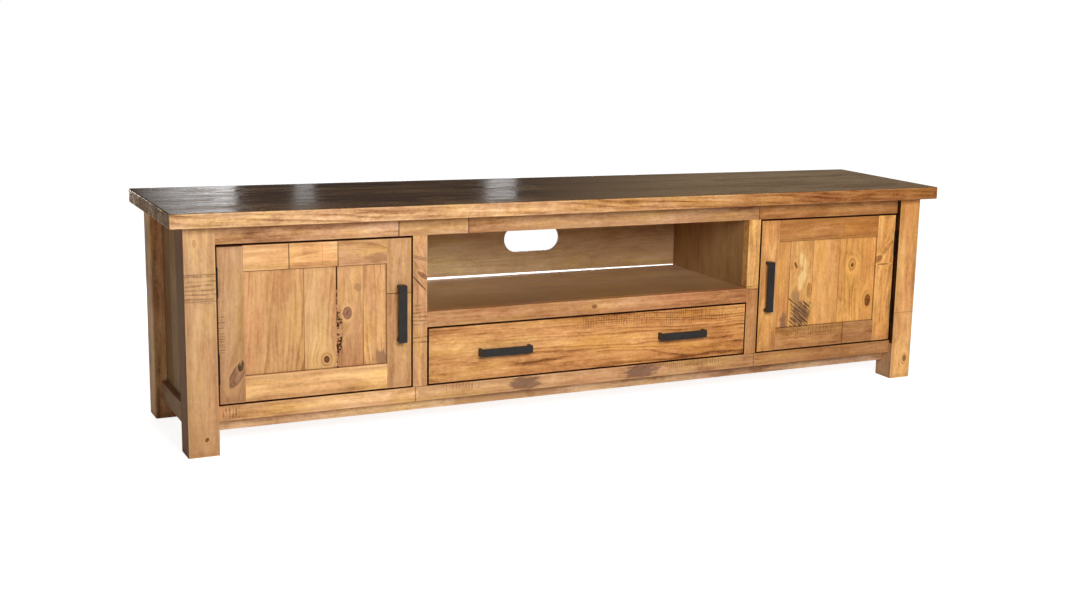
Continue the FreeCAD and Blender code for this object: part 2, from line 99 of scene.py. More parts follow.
def ramp(tree, value, stops, interpolation="LINEAR"):
    """Colour ramp through (position, colour with alpha) stops."""
    node = put(tree, "ShaderNodeValToRGB", {"Fac": value})
    band = node.color_ramp
    band.interpolation = interpolation
    band.elements.remove(band.elements[1])
    band.elements[0].position, band.elements[0].color = stops[0]
    for position, colour in stops[1:]:
        band.elements.new(position).color = colour
    return node.outputs


def effect(name, inputs, outputs):
    """Start a shader group with named sockets."""
    tree = bpy.data.node_groups.new(name, "ShaderNodeTree")
    for direction, sockets in (("INPUT", inputs), ("OUTPUT", outputs)):
        for label, kind in sockets.items():
            tree.interface.new_socket(label, in_out=direction, socket_type="NodeSocket" + kind)
    return tree, tree.nodes.new("NodeGroupInput").outputs, tree.nodes.new("NodeGroupOutput").inputs


def use(tree, group, inputs):
    """Place a shader group in a material."""
    node = put(tree, "ShaderNodeGroup", node_tree=group)
    for key, value in inputs.items():
        feed(tree, node.inputs[key], value)
    return node.outputs


def pine_figure_group():
    """Figure of a sawn board: growth rings round the heart of the log, streaks, fibre and cloud."""
    tree, given, result = effect(
        "pine_figure",
        {"Place": "Vector", "Heart": "Vector", "Lot": "Float", "Ring Gap": "Float", "Run Out": "Float",
         "Waver": "Float", "Ring Depth": "Float", "Contrast": "Float"},
        {"Tone": "Float", "Rings": "Float", "Fibre": "Float", "Cast": "Color"})
    shift = vector_calc(tree, "MULTIPLY", joined(tree, given["Lot"], given["Lot"], given["Lot"]),
                        (3.1, 1.7, 2.3))
    sample = vector_calc(tree, "ADD", given["Place"], shift)
    slow = vector_calc(tree, "SUBTRACT", noise(tree, sample, (2.5, 14.0, 14.0), 3.0)["Color"],
                       (0.5, 0.5, 0.5))
    waver = joined(tree, given["Waver"], given["Waver"], given["Waver"])
    centred = vector_calc(tree, "SUBTRACT", given["Place"], given["Heart"])
    spot = vector_calc(tree, "MULTIPLY_ADD", slow, waver, centred)
    along, across, through = parts_of(tree, spot)
    # Each lot has its heart a little aside, so the rings break where two boards meet
    aside = calc(tree, "SUBTRACT", calc(tree, "FRACT", calc(tree, "MULTIPLY", given["Lot"], 0.37)), 0.5)
    across = calc(tree, "MULTIPLY_ADD", aside, 0.1, across)
    square = calc(tree, "ADD", calc(tree, "MULTIPLY", across, across),
                  calc(tree, "MULTIPLY", through, through))
    reach = calc(tree, "MULTIPLY_ADD", along, given["Run Out"], calc(tree, "SQRT", square))
    count = calc(tree, "DIVIDE", reach, given["Ring Gap"])
    year = calc(tree, "ADD", calc(tree, "FLOOR", count), given["Lot"])
    vigour = put(tree, "ShaderNodeTexWhiteNoise", {"W": year}, noise_dimensions="1D").outputs["Value"]
    season = ramp(tree, calc(tree, "FRACT", count),
                  [(0.0, (0.1, 0.1, 0.1, 1)), (0.35, (0.0, 0.0, 0.0, 1)), (0.84, (1, 1, 1, 1)),
                   (0.92, (0.9, 0.9, 0.9, 1)), (1.0, (0.1, 0.1, 0.1, 1))])["Color"]
    rings = calc(tree, "MULTIPLY", season, calc(tree, "MULTIPLY_ADD", vigour, 0.8, 0.2))
    patchy = eased(tree, noise(tree, sample, (4.0, 18.0, 18.0))[0], 0.35, 0.6, 0.15, 1.0)
    rings = calc(tree, "MULTIPLY", rings, patchy)
    broad = noise(tree, sample, (2.6, 9.0, 9.0), 2.0)[0]
    streak = eased(tree, noise(tree, sample, (4.0, 60.0, 60.0), 3.0, 0.6)[0], 0.3, 0.7)
    vein = noise(tree, sample, (9.0, 150.0, 150.0), 2.0, 0.6)[0]
    fibre = noise(tree, sample, (34.0, 430.0, 430.0), 2.0, 0.6)[0]
    cloud = noise(tree, sample, (14.0, 34.0, 34.0), 4.0, 0.55, 0.8)[0]
    fleck = noise(tree, sample, (110.0, 170.0, 170.0), 3.0, 0.6)[0]
    resin = eased(tree, noise(tree, sample, (11.0, 240.0, 240.0), 1.0)[0], 0.66, 0.74)
    change = calc(tree, "MULTIPLY", resin, -0.2)
    shares = ((broad, 0.95), (streak, 0.14), (vein, 0.42), (fibre, 0.36), (cloud, 0.7), (fleck, 0.42))
    for grain, share in shares:
        change = calc(tree, "MULTIPLY_ADD", calc(tree, "SUBTRACT", grain, 0.5), share, change)
    change = calc(tree, "SUBTRACT", change, calc(tree, "MULTIPLY", rings, given["Ring Depth"]))
    tone = calc(tree, "MULTIPLY_ADD", change, given["Contrast"], 0.58)
    hue = noise(tree, vector_calc(tree, "ADD", sample, (7.0, 3.0, 5.0)), (5.0, 22.0, 22.0), 3.0, 0.55,
                0.4)[0]
    cast = ramp(tree, hue, [(0.26, (1.04, 1.05, 0.74, 1.0)), (0.5, (1.0, 1.0, 1.0, 1.0)),
                            (0.74, (0.97, 0.87, 0.88, 1.0))])["Color"]
    for label, value in (("Tone", tone), ("Rings", rings), ("Fibre", fibre), ("Cast", cast)):
        feed(tree, result[label], value)
    return tree


def knot_group():
    """A knot: the grain bends round a core with a dark outline and pith, in a pale ring of resin."""
    tree, given, result = effect(
        "knot", {"Place": "Vector", "Centre": "Vector", "Size": "Vector", "Slant": "Float"},
        {"Bend": "Vector", "Core": "Float", "Outline": "Float", "Pale": "Float"})
    along, across, _ = parts_of(tree, vector_calc(tree, "SUBTRACT", given["Place"], given["Centre"]))
    leaned = calc(tree, "SUBTRACT", across, calc(tree, "MULTIPLY", along, given["Slant"]))
    long_radius, wide_radius, _ = parts_of(tree, given["Size"])
    wobble = noise(tree, given["Place"], (70.0, 70.0, 70.0), 2.0)[0]
    mottle = noise(tree, given["Place"], (260.0, 260.0, 260.0), 3.0, 0.7)[0]
    u = calc(tree, "DIVIDE", along, long_radius)
    v = calc(tree, "DIVIDE", leaned, wide_radius)
    square = calc(tree, "ADD", calc(tree, "MULTIPLY", u, u), calc(tree, "MULTIPLY", v, v))
    distance = calc(tree, "MULTIPLY_ADD", calc(tree, "SUBTRACT", wobble, 0.5), 0.5,
                    calc(tree, "SQRT", square))
    feed(tree, result["Core"], calc(tree, "MULTIPLY", eased(tree, distance, 1.04, 0.92),
                                    eased(tree, mottle, 0.3, 0.6, 0.7, 1.0)))
    ring = calc(tree, "ABSOLUTE", calc(tree, "SUBTRACT", distance, 0.97))
    pith = calc(tree, "MULTIPLY", eased(tree, distance, 0.5, 0.1), eased(tree, mottle, 0.35, 0.6))
    bark = calc(tree, "MULTIPLY", eased(tree, ring, 0.2, 0.02),
                eased(tree, wobble, 0.38, 0.62, 0.1, 0.8))
    feed(tree, result["Outline"], calc(tree, "MAXIMUM", bark, pith))
    feed(tree, result["Pale"], eased(tree, distance, 1.9, 1.15))
    pull = calc(tree, "POWER", 2.718, calc(tree, "MULTIPLY", square, -0.25))
    bend = calc(tree, "MULTIPLY", calc(tree, "MULTIPLY", leaned, pull), -0.85)
    feed(tree, result["Bend"], joined(tree, 0.0, bend, 0.0))
    return tree


def saw_marks_group():
    """Rough lines left across the grain by the saw where the plane missed a patch."""
    tree, given, result = effect(
        "saw_marks",
        {"Place": "Vector", "Centre": "Vector", "Spread": "Vector", "Pitch": "Float", "Slant": "Float"},
        {"Lines": "Float"})
    offset = vector_calc(tree, "SUBTRACT", given["Place"], given["Centre"])
    along, across, _ = parts_of(tree, offset)
    run, width, _ = parts_of(tree, given["Spread"])
    far = calc(tree, "MAXIMUM", calc(tree, "ABSOLUTE", calc(tree, "DIVIDE", along, run)),
               calc(tree, "ABSOLUTE", calc(tree, "DIVIDE", across, width)))
    ragged = noise(tree, given["Place"], (60.0, 60.0, 60.0), 3.0)[0]
    patch = eased(tree, calc(tree, "MULTIPLY_ADD", calc(tree, "SUBTRACT", ragged, 0.5), 1.3, far), 1.05,
                  0.75)
    leaned = calc(tree, "MULTIPLY_ADD", across, given["Slant"], along)
    waver = noise(tree, joined(tree, calc(tree, "MULTIPLY", leaned, 90.0),
                               calc(tree, "MULTIPLY", across, 12.0), 0.0))[0]
    step = calc(tree, "MULTIPLY_ADD", waver, 0.9, calc(tree, "DIVIDE", leaned, given["Pitch"]))
    line = eased(tree, calc(tree, "PINGPONG", step, 0.5), 0.27, 0.1)
    broken = eased(tree, noise(tree, joined(tree, calc(tree, "MULTIPLY", leaned, 160.0),
                                            calc(tree, "MULTIPLY", across, 45.0), 0.0))[0], 0.32, 0.6)
    feed(tree, result["Lines"], calc(tree, "MULTIPLY", patch, calc(tree, "MULTIPLY", line, broken)))
    return tree


def board_edge_group():
    """Wear by the edges of a square board: the arris worn pale by rubbing, which is also a painted
    highlight, and old wax beside it.
    """
    tree, given, result = effect(
        "board_edge", {"Place": "Vector", "Low": "Vector", "High": "Vector"},
        {"Rubbed And Highlight": "Float", "Wax": "Float"})
    inside = vector_calc(tree, "MINIMUM", vector_calc(tree, "SUBTRACT", given["Place"], given["Low"]),
                         vector_calc(tree, "SUBTRACT", given["High"], given["Place"]))
    x, y, z = parts_of(tree, inside)
    least = calc(tree, "MINIMUM", x, calc(tree, "MINIMUM", y, z))
    most = calc(tree, "MAXIMUM", x, calc(tree, "MAXIMUM", y, z))
    total = calc(tree, "ADD", x, calc(tree, "ADD", y, z))
    middle = calc(tree, "SUBTRACT", calc(tree, "SUBTRACT", total, least), most)
    ragged = noise(tree, given["Place"], (55.0, 55.0, 55.0), 3.0, 0.6)[0]
    reach = calc(tree, "MULTIPLY_ADD", ragged, 0.009, 0.0005)
    feed(tree, result["Rubbed And Highlight"], eased(tree, middle, reach, 0.0012))
    waxed = calc(tree, "MULTIPLY_ADD", ragged, -0.02, middle)
    feed(tree, result["Wax"], eased(tree, waxed, 0.008, -0.008))
    return tree


def stain_group():
    """A soft ragged blot, drawn out along the grain."""
    tree, given, result = effect(
        "stain", {"Place": "Vector", "Centre": "Vector", "Spread": "Vector"}, {"Blot": "Float"})
    offset = vector_calc(tree, "DIVIDE", vector_calc(tree, "SUBTRACT", given["Place"], given["Centre"]),
                         given["Spread"])
    along, across, _ = parts_of(tree, offset)
    square = calc(tree, "ADD", calc(tree, "MULTIPLY", along, along),
                  calc(tree, "MULTIPLY", across, across))
    ragged = noise(tree, given["Place"], (30.0, 150.0, 150.0), 4.0, 0.65)[0]
    far = calc(tree, "MULTIPLY_ADD", calc(tree, "SUBTRACT", ragged, 0.5), 1.8,
               calc(tree, "SQRT", square))
    feed(tree, result["Blot"], eased(tree, far, 1.05, 0.65))
    return tree


def crack_group():
    """A check along the grain, broken into black specks."""
    tree, given, result = effect(
        "crack", {"Place": "Vector", "Centre": "Vector", "Spread": "Vector", "Filled": "Float"},
                                 {"Specks": "Float"})
    along, across, _ = parts_of(tree, vector_calc(tree, "SUBTRACT", given["Place"], given["Centre"]))
    run, width, _ = parts_of(tree, given["Spread"])
    sway = noise(tree, joined(tree, calc(tree, "MULTIPLY", along, 60.0), 0.0, 0.0), detail=3.0)[0]
    swing = calc(tree, "MULTIPLY", calc(tree, "SUBTRACT", sway, 0.5), width)
    aside = calc(tree, "ABSOLUTE", calc(tree, "ADD", swing, across))
    bits = noise(tree, given["Place"], (150.0, 260.0, 260.0), 3.0, 0.7)[0]
    broken = eased(tree, calc(tree, "SUBTRACT", bits, given["Filled"]), 0.48, 0.42)
    ends = eased(tree, calc(tree, "ABSOLUTE", along), run, calc(tree, "MULTIPLY", run, 0.92))
    line = eased(tree, calc(tree, "DIVIDE", aside, width), 1.0, 0.6)
    feed(tree, result["Specks"], calc(tree, "MULTIPLY", calc(tree, "MULTIPLY", line, broken), ends))
    return tree


pine_figure = pine_figure_group()
knot = knot_group()
saw_marks = saw_marks_group()
board_edge = board_edge_group()
stain = stain_group()
crack = crack_group()

honey = [(0.0, (0.20, 0.082, 0.025, 1.0)), (0.3, (0.44, 0.215, 0.078, 1.0)),
         (0.52, (0.61, 0.335, 0.135, 1.0)),
         (0.75, (0.75, 0.450, 0.200, 1.0)), (1.0, (0.90, 0.62, 0.32, 1.0))]
red_knot = (0.13, 0.034, 0.012, 1.0)
rose_knot = (0.26, 0.115, 0.066, 1.0)
black_knot = (0.020, 0.008, 0.004, 1.0)
tan_knot = (0.46, 0.210, 0.062, 1.0)
brown_knot = (0.20, 0.075, 0.022, 1.0)
pale_heart = (0.50, 0.30, 0.19, 1.0)
knot_outline = (0.075, 0.027, 0.015, 1.0)
resin_pale = (0.78, 0.45, 0.165, 1.0)
saw_shadow = (0.07, 0.027, 0.010, 1.0)
# Near black of cracks and dark joints, also used as painted shade in gaps and along panel edges
dark_joint_and_painted_gap_shade = (0.045, 0.010, 0.0025, 1.0)
old_wax = (0.24, 0.105, 0.036, 1.0)
# Lightening of worn arrises, partly a painted highlight
rubbed_wood_and_highlight = (1.6, 1.7, 1.8, 1.0)
brown_blot = (0.30, 0.155, 0.078, 1.0)
grey_blot = (0.23, 0.122, 0.082, 1.0)
tan_blot = (0.42, 0.215, 0.092, 1.0)
pale_blot = (0.66, 0.40, 0.18, 1.0)
yellow_blot = (0.92, 0.62, 0.26, 1.0)

# How much of the wood each mark covers, and how far it sinks in the bump
resin_cover = 0.5
outline_cover = 0.7
stain_cover = 0.85
core_sink = -0.8
saw_sink = -1.2
crack_sink = -2.0
bump_strength = 0.4
bump_distance = 0.0006
# Metres behind a box side that still take that side's own marks and tint
side_skin = 0.0015

# Which object axes are along, across and through a board, by the way its grain runs
grain_axes = {"x": (0, 2, 1), "flat x": (0, 1, 2), "y": (1, 2, 0), "z": (2, 0, 1), "side z": (2, 1, 0)}


def pine(node, grain, lot, tint=(1.0, 1.0, 1.0), boards=None, board_axis=0, heart=(0.0, 0.03, 0.07),
         ring_gap=0.008, run_out=0.04, waver=0.03, ring_depth=0.18, contrast=1.0, knots=(), saws=(),
         stains=(), cracks=(), lines=(), marked_side="", painted_gap_shade_sides="", edge_width=0.0019,
         edge_depth=0.010,
         edge_span=None, rubbed_and_highlight=0.3, wax=0.3, roughness=0.45, gloss=0.25, painted_shade_side=None, painted_light_fade=None):
    """Pine finish for one node. Places are metres in the unit's own frame, along and across the grain.

    boards: (start, tint, lot) of each board along board_axis, where a node is glued up.
    knots: along, across, long radius, wide radius, slant, colour, strength. saws: along, across, half
    run, half width, pitch, slant, strength. stains: along, across, half run, half width, colour.
    cracks: along, across, half run, half width, share filled. lines: axis, position, strength, for dark
    joints, and along some panel edges and corners for painted shade. marked_side: the one box side,
    such as y-, that has the saws and lines. painted_gap_shade_sides: box sides painted near black as
    the shade of a gap, to edge_depth behind the front, between the heights of edge_span.
    painted_shade_side: a box side and its own tint, painted shade on that side. fade: axis, tint at the
    low end, tint at the high end, a painted falloff of light along the axis.
    """
    low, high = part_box(node)
    material = bpy.data.materials.new("pine_" + node)
    material.use_nodes = True
    tree = material.node_tree
    shader = tree.nodes["Principled BSDF"]
    where = put(tree, "ShaderNodeTexCoord").outputs["Object"]
    axes = parts_of(tree, where)
    order = grain_axes[grain]
    place = joined(tree, *(axes[i] for i in order))
    flat_place = place

    def beside(name):
        """Distance from one side of the node's box, such as x+."""
        axis = "xyz".index(name[0])
        limit = high[axis] if name[1] == "+" else low[axis]
        return calc(tree, "ABSOLUTE", calc(tree, "SUBTRACT", axes[axis], limit))

    batch = lot
    board_tint = None
    if boards:
        run = high[board_axis] - low[board_axis]
        share = calc(tree, "DIVIDE", calc(tree, "SUBTRACT", axes[board_axis], low[board_axis]), run)
        stops = [(max(0.0, (start - low[board_axis]) / run), (*colour, number / 10))
                 for start, colour, number in boards]
        found = ramp(tree, share, stops, "CONSTANT")
        board_tint = found["Color"]
        batch = calc(tree, "MULTIPLY_ADD", found["Alpha"], 10.0, lot)
    eyes = []
    for u, v, long_radius, wide_radius, slant, core_colour, strength in knots:
        eye = use(tree, knot, {"Place": flat_place, "Centre": (u, v, 0.0),
                               "Size": (long_radius, wide_radius, 1.0), "Slant": slant})
        place = vector_calc(tree, "ADD", place, eye["Bend"])
        eyes.append((eye, core_colour, strength))
    middle = (low + high) / 2
    centre = Vector([middle[i] for i in order]) + Vector(heart)
    figure = use(tree, pine_figure, {
        "Place": place, "Heart": centre, "Lot": batch, "Ring Gap": ring_gap, "Run Out": run_out,
        "Waver": waver, "Ring Depth": ring_depth, "Contrast": contrast})
    colour = ramp(tree, figure["Tone"], honey)["Color"]
    colour = blend(tree, "MULTIPLY", 1.0, colour, figure["Cast"])
    height = calc(tree, "MULTIPLY_ADD", figure["Fibre"], 0.6,
                  calc(tree, "MULTIPLY", figure["Rings"], 0.4))
    for eye, core_colour, strength in eyes:
        colour = blend(tree, "MIX", calc(tree, "MULTIPLY", eye["Pale"], resin_cover * strength), colour,
                       resin_pale)
        colour = blend(tree, "MIX", calc(tree, "MULTIPLY", eye["Core"], strength), colour, core_colour)
        colour = blend(tree, "MIX", calc(tree, "MULTIPLY", eye["Outline"], outline_cover * strength),
                       colour, knot_outline)
        height = calc(tree, "MULTIPLY_ADD", eye["Core"], core_sink, height)
    if board_tint is not None:
        colour = blend(tree, "MULTIPLY", 1.0, colour, board_tint)
    colour = blend(tree, "MULTIPLY", 1.0, colour, (*tint, 1.0))
    dull = calc(tree, "MULTIPLY_ADD", figure["Tone"], 0.35, roughness - 0.2)
    for u, v, run, width, blot_colour in stains:
        blot = use(tree, stain, {"Place": flat_place, "Centre": (u, v, 0.0),
                                 "Spread": (run, width, 1.0)})["Blot"]
        colour = blend(tree, "MIX", calc(tree, "MULTIPLY", blot, stain_cover), colour, blot_colour)
    edges = use(tree, board_edge, {"Place": where, "Low": low, "High": high})
    if wax:
        colour = blend(tree, "MIX", calc(tree, "MULTIPLY", edges["Wax"], wax), colour, old_wax)
    # The arris is lightened as worn wood and as a painted highlight
    if rubbed_and_highlight:
        colour = blend(tree, "MULTIPLY", calc(tree, "MULTIPLY", edges["Rubbed And Highlight"], rubbed_and_highlight), colour,
                       rubbed_wood_and_highlight)
    marked = 1.0
    if marked_side:
        marked = eased(tree, beside(marked_side), side_skin, 0.0005)
    for u, v, run, width, pitch, slant, strength in saws:
        marks = use(tree, saw_marks, {"Place": flat_place, "Centre": (u, v, 0.0),
                                      "Spread": (run, width, 1.0), "Pitch": pitch,
                                      "Slant": slant})["Lines"]
        marks = calc(tree, "MULTIPLY", marks, marked)
        colour = blend(tree, "MIX", calc(tree, "MULTIPLY", marks, strength), colour, saw_shadow)
        height = calc(tree, "MULTIPLY_ADD", marks, saw_sink, height)
    for u, v, run, width, filled in cracks:
        specks = use(tree, crack, {"Place": flat_place, "Centre": (u, v, 0.0),
                                   "Spread": (run, width, 1.0), "Filled": filled})["Specks"]
        colour = blend(tree, "MIX", specks, colour, dark_joint_and_painted_gap_shade)
        height = calc(tree, "MULTIPLY_ADD", specks, crack_sink, height)
    # Dark lines along joints, some of them painted shade along panel edges and in corners
    for axis, position, strength in lines:
        near = calc(tree, "ABSOLUTE", calc(tree, "SUBTRACT", axes[axis], position))
        line = calc(tree, "MULTIPLY", eased(tree, near, 0.002, 0.0005, 0.0, strength), marked)
        colour = blend(tree, "MIX", line, colour, dark_joint_and_painted_gap_shade)
    # Sides beside a gap are painted near black as the gap's shade, fading out behind the front
    for name in painted_gap_shade_sides.split():
        shade = calc(tree, "MULTIPLY", eased(tree, beside(name), edge_width, edge_width * 0.5),
                     eased(tree, beside("y-"), edge_depth * 1.8, edge_depth))
        if edge_span:
            for level, step in zip(edge_span, (0.004, -0.004)):
                shade = calc(tree, "MULTIPLY", shade, eased(tree, axes[2], level - step, level))
        colour = blend(tree, "MIX", shade, colour, dark_joint_and_painted_gap_shade)
    face = 0.0
    # One side takes its own tint, as painted shade on that side
    if painted_shade_side:
        face = eased(tree, beside(painted_shade_side[0]), side_skin, 0.0003)
        colour = blend(tree, "MULTIPLY", face, colour, (*painted_shade_side[1], 1.0))
    # A painted falloff of light and shade along one axis
    if painted_light_fade:
        axis, near_tint, far_tint = painted_light_fade
        painted_falloff = blend(tree, "MIX", eased(tree, axes[axis], low[axis], high[axis]), (*near_tint, 1.0),
                       (*far_tint, 1.0))
        colour = blend(tree, "MULTIPLY", calc(tree, "SUBTRACT", 1.0, face), colour, painted_falloff)
    feed(tree, shader.inputs["Base Color"], colour)
    feed(tree, shader.inputs["Roughness"], dull)
    bump = put(tree, "ShaderNodeBump", {"Height": height, "Strength": bump_strength,
                                        "Distance": bump_distance})
    feed(tree, shader.inputs["Normal"], bump.outputs["Normal"])
    shader.inputs["Specular IOR Level"].default_value = gloss
    dress(node, material)


def dress(node, material):
    """Give a node's object one material in all its slots."""
    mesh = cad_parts[node].data
    mesh.materials.clear()
    mesh.materials.append(material)


# The left side of the front left leg and the inner side of the front right leg are painted darker as
# painted shade. The front left leg is painted darker towards its foot and the front right leg towards
# its top as painted falloff of light, and the rear left leg is tinted paler than the others as painted
# light.
pine("leg_front_left", "z", 1.3, tint=(1.14, 1.22, 1.48), contrast=0.7, marked_side="y-",
     saws=[(0.3675, -0.936, 0.033, 0.05, 0.0095, 0.0, 0.5)], lines=[(2, 0.3962, 0.5), (2, 0.339, 0.4)],
     knots=[(0.462, -0.9454, 0.009, 0.004, 0.0, tan_knot, 0.6),
            (0.038, -0.930, 0.005, 0.004, 0.3, red_knot, 0.9)],
     painted_shade_side=("x-", (0.45, 0.34, 0.24)), painted_light_fade=(2, (0.84, 0.77, 0.68), (1.0, 1.0, 1.0)))
pine("leg_front_right", "z", 2.7, tint=(1.43, 1.31, 1.07), contrast=0.85, marked_side="y-",
     knots=[(0.053, 0.948, 0.017, 0.0105, 0.0, tan_knot, 0.8),
            (0.054, 0.949, 0.010, 0.006, 0.0, red_knot, 0.8)],
     lines=[(2, 0.184, 0.3)], painted_shade_side=("x-", (0.68, 0.78, 1.25)),
     painted_gap_shade_sides="x-", edge_depth=0.03, edge_width=0.0012, edge_span=(0.1, 0.5),
     painted_light_fade=(2, (1.15, 1.24, 1.42), (0.83, 0.74, 0.68)))
pine("leg_rear_left", "z", 3.9, tint=(1.75, 1.86, 2.15))
pine("leg_rear_right", "z", 5.2)


# Face frame
# Rails tenoned into the front legs, with two stiles between them and a rail under the open bay.
# The long rails are shorter lengths of pine butted end to end, so their tone changes at the joints.
def lengths(node, joints, tints, lots, axis=0):
    """Boards of a node made of several lengths, from the places where they meet."""
    return list(zip([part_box(node)[0][axis], *joints], tints, lots))


# The rails are painted darker and warmer towards the right as a painted falloff of light, and the sides
# of the bottom rail and stiles that meet gaps are painted near black as the gaps' shade.
rail_painted_light_fade = (0, (1.0, 1.0, 1.0), (0.90, 0.84, 0.80))
joints = (-0.498, -0.332, 0.460)
tints = ((1.02, 1.02, 1.28), (0.86, 0.84, 0.94), (0.84, 0.82, 0.94), (0.79, 0.65, 0.51))
pine("face_top_rail", "x", 0.4, contrast=1.3, painted_light_fade=rail_painted_light_fade,
     boards=lengths("face_top_rail", joints, tints, (1, 2, 3, 4)),
     lines=[(0, joint, 0.8) for joint in joints])
joints = (-0.459, 0.462)
tints = ((1.20, 1.17, 1.28), (1.03, 1.03, 1.14), (0.90, 0.80, 0.74))
pine("face_bottom_rail", "x", 1.9, boards=lengths("face_bottom_rail", joints, tints, (2, 6, 3)),
     painted_light_fade=rail_painted_light_fade, lines=[(0, joint, 0.5) for joint in joints], painted_gap_shade_sides="z+", edge_width=0.0012,
     stains=[(-0.185, 0.089, 0.045, 0.02, grey_blot), (0.13, 0.089, 0.055, 0.02, grey_blot)],
     saws=[(0.285, 0.098, 0.09, 0.012, 0.006, 0.0, 0.5), (-0.34, 0.098, 0.05, 0.01, 0.008, 0.0, 0.4),
           (-0.185, 0.089, 0.04, 0.016, 0.011, -1.6, 0.5), (0.13, 0.089, 0.05, 0.016, 0.011, -1.6, 0.5),
           (-0.875, 0.088, 0.02, 0.014, 0.007, 0.0, 0.6)])
pine("bay_rail", "x", 6.1, tint=(0.82, 0.72, 0.74), contrast=1.2,
     painted_light_fade=(0, (1.0, 1.0, 1.0), (1.02, 0.92, 0.84)),
     knots=[(-0.005, 0.262, 0.007, 0.005, 0.0, red_knot, 0.7)])
pine("face_stile_left", "z", 7.3, tint=(1.06, 1.02, 1.22), painted_gap_shade_sides="x-",
     edge_width=0.0012, edge_span=(0.106, 0.456),
     knots=[(0.404, -0.449, 0.012, 0.014, -3.0, rose_knot, 0.5),
            (0.364, -0.442, 0.010, 0.008, -1.0, red_knot, 0.7),
            (0.3475, -0.451, 0.021, 0.003, -0.9, black_knot, 0.8)],
     saws=[(0.273, -0.448, 0.025, 0.025, 0.009, 0.0, 0.55),
           (0.215, -0.448, 0.01, 0.025, 0.011, 0.0, 0.5)])
pine("face_stile_right", "z", 8.8, saws=[(0.279, 0.45, 0.012, 0.03, 0.008, 0.0, 0.5)], board_axis=2,
     contrast=1.3,
     boards=lengths("face_stile_right", (0.279,), ((0.76, 0.60, 0.50), (1.26, 1.18, 0.95)), (1, 2), 2),
     painted_gap_shade_sides="x-", edge_width=0.0012, edge_span=(0.106, 0.243))


# Base frame
# Four plain rails low between the legs, set back behind the face, which carry the floor board.
low_tint = (0.78, 0.78, 0.85)
# The front base rail is painted paler towards the left, as a painted falloff of light
pine("base_rail_front", "x", 2.2, tint=(0.98, 1.05, 1.38), contrast=1.2,
     painted_light_fade=(0, (1.30, 1.40, 1.42), (1.0, 1.0, 1.08)),
     knots=[(-0.16, 0.055, 0.012, 0.010, -0.3, red_knot, 0.9)],
     stains=[(-0.22, 0.06, 0.17, 0.04, tan_blot)])
pine("base_rail_rear", "x", 4.1, tint=low_tint)
pine("base_rail_left", "y", 5.5, tint=low_tint)
pine("base_rail_right", "y", 6.4, tint=low_tint)
pine("rear_top_rail", "x", 7.7, tint=low_tint)


# Side panels
# Upright boards glued edge to edge, housed in grooves in the legs of each end.
for side, lot in (("left", 2.0), ("right", 3.0)):
    front_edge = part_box("side_panel_" + side)[0].y
    starts = (front_edge, -0.053, 0.016, 0.085)
    tints = ((1.00, 1.03, 1.12), (0.80, 0.79, 0.79), (0.78, 0.79, 0.83), (0.66, 0.64, 0.64))
    pine("side_panel_" + side, "side z", lot, boards=list(zip(starts, tints, (1, 3, 6, 8))),
         board_axis=1, lines=[(1, start, 0.6) for start in starts[1:]])


# Inside of the carcass
# Floor board, dividers and bay shelf of plain jointed pine with a thin coat of the same stain.
inside_tint = (1.0, 1.0, 1.05)
pine("floor_board", "flat x", 1.1, tint=inside_tint)
# The bay shelf is painted dark at its front and pale at its back, as painted light and shade in the bay
pine("bay_shelf", "flat x", 3.3, tint=inside_tint, contrast=0.6,
     painted_light_fade=(1, (0.56, 0.57, 0.56), (0.95, 1.11, 1.42)))
pine("divider_left", "side z", 4.4, tint=inside_tint)
pine("divider_right", "side z", 6.6, tint=(0.70, 0.74, 0.75), contrast=0.6)


# Back
# Thin faced boards screwed to the rear rails. The bay's own has a rounded slot for leads.
# The bay's back panel is painted paler towards the left, as painted light falling into the bay. The
# dark lines at each panel's ends are joints between panels, and at the bay painted shade in its
# corners.
back_tint = (1.06, 1.18, 1.40)
for name, lot in (("left", 1.0), ("right", 2.0), ("drawer", 3.0), ("bay", 4.0)):
    low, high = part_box("back_panel_" + name)
    pine("back_panel_" + name, "x", lot, tint=back_tint, contrast=0.6, rubbed_and_highlight=0.0,
         painted_light_fade=(0, (1.30, 1.52, 1.75), (0.94, 0.96, 1.0)) if name == "bay" else None,
         lines=[(0, low.x + 0.003, 0.6), (0, high.x - 0.003, 0.6)])


# Top
# Three wide planks glued edge to edge, with rounded edges and a fine V along each joint. The upper
# face is painted a darker brown than the edges, as painted shade for the dim light on the top, and
# the planks are painted darker and warmer towards the right, as a painted falloff of light.
for number in (1, 2, 3):
    low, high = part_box("top_plank_%d" % number)
    pine("top_plank_%d" % number, "flat x", 1.7 * number, tint=(1.20, 1.22, 1.42),
         heart=(0.0, 0.03, -0.1), roughness=0.22, gloss=0.5, contrast=1.4, ring_depth=0.34,
         rubbed_and_highlight=0.6,
         painted_light_fade=(0, (1.06, 1.09, 1.13), (0.64, 0.45, 0.27)),
         painted_shade_side=("z+", (0.33, 0.30, 0.28)), marked_side="z+",
         lines=[(1, edge, 0.9) for edge in (low.y, high.y) if abs(edge) < 0.2])


